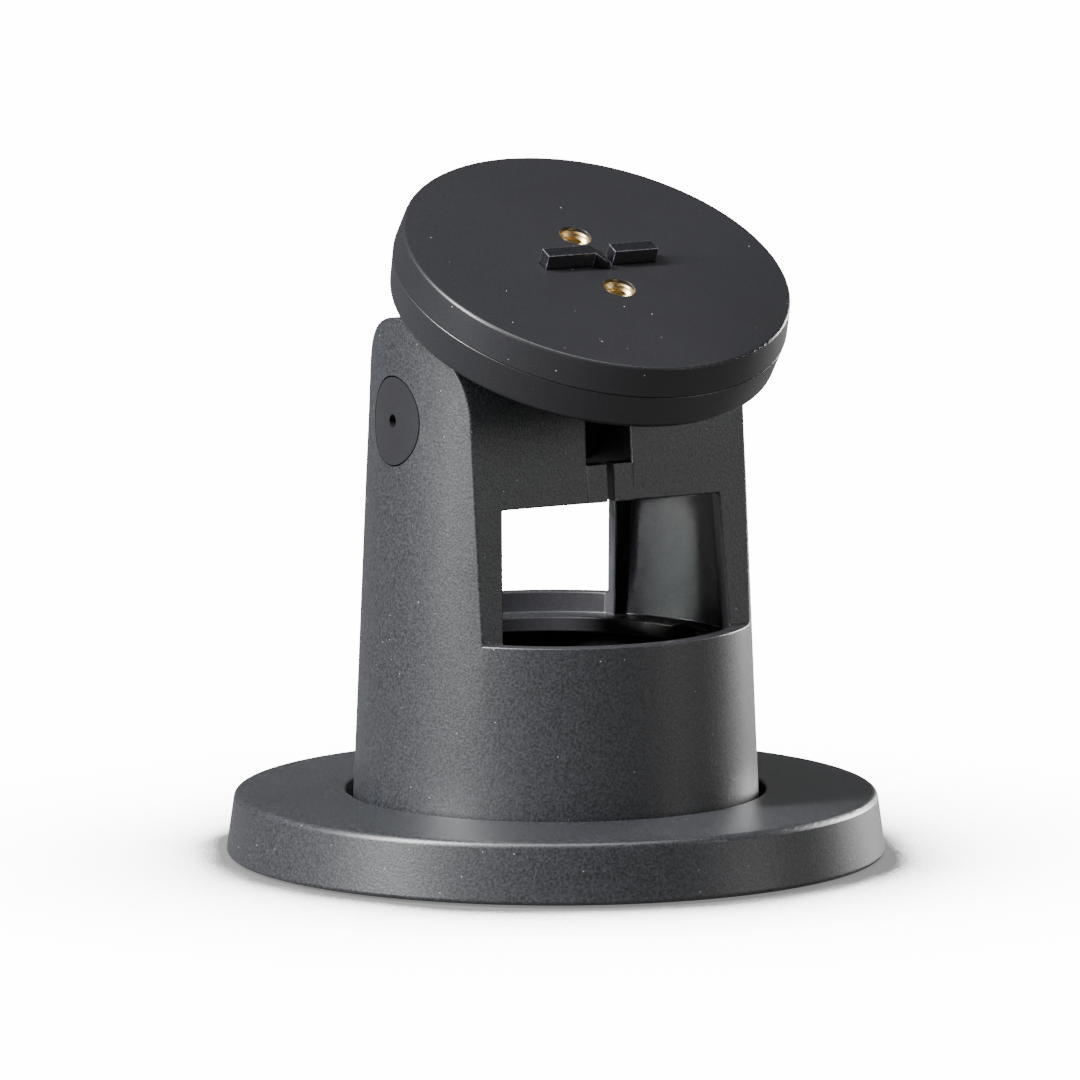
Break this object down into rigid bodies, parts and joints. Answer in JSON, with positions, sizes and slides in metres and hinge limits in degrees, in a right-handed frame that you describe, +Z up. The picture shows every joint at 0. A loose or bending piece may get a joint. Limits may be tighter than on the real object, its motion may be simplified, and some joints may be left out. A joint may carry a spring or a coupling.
{
  "type": "tilt swivel pedestal stand",
  "caption": "Weighted round base, tapered column that swivels, and a tilting round mounting head with threaded brass inserts and a locating bar.",
  "frame": {"origin": "centre of the foot ring on the surface that the stand rests on", "axes": "+Z up along the swivel axis, -Y is the front that the head leans towards, +X along the tilt axis"},
  "size_m": [0.1298, 0.1298, 0.1359],
  "materials": {
    "rubber_black": "matt moulded rubber",
    "steel_plate": "black e-coat on steel plate",
    "textured_plastic": "fine spark-eroded texture",
    "zinc_steel": "bright zinc plate",
    "cast_metal": "black powder coat on zinc casting",
    "acetal": "natural acetal",
    "spring_steel": "oiled spring steel",
    "black_steel": "black oxide steel",
    "smooth_plastic": "satin moulded",
    "brass": "machined brass",
    "key_plastic": "glossy moulded"
  },
  "bodies": {
    "base": {"foot_pad": "rubber_black", "base_plate": "steel_plate", "base_cover": "textured_plastic", "cover_screws": "zinc_steel", "swivel_hub": "cast_metal", "hub_screws": "zinc_steel", "stop_pin": "zinc_steel", "thrust_ring": "acetal", "swivel_spring": "spring_steel", "retaining_ring": "black_steel"},
    "column": {"column": "textured_plastic", "swivel_bush": "acetal", "swivel_washer": "acetal", "pivot_cap_left": "smooth_plastic", "pivot_cap_right": "smooth_plastic", "pivot_shaft": "zinc_steel", "cup_springs": "spring_steel", "pivot_screws": "black_steel", "friction_discs": "acetal"},
    "head": {"tilt_bracket": "cast_metal", "head_shell": "smooth_plastic", "top_plate": "smooth_plastic", "head_screws": "black_steel", "bracket_screws": "zinc_steel", "insert_front": "brass", "insert_rear": "brass", "locating_bar": "key_plastic"}
  },
  "joints": [
    {"name": "swivel", "type": "hinge", "parent": "base", "child": "column", "pos_m": [0, 0, 0.011], "axis": [0, 0, 1], "range_deg": [-160, 160]},
    {"name": "tilt", "type": "hinge", "parent": "column", "child": "head", "pos_m": [0, 0, 0.0885], "axis": [1, 0, 0], "range_deg": [-105.5, 54.4]}
  ]
}
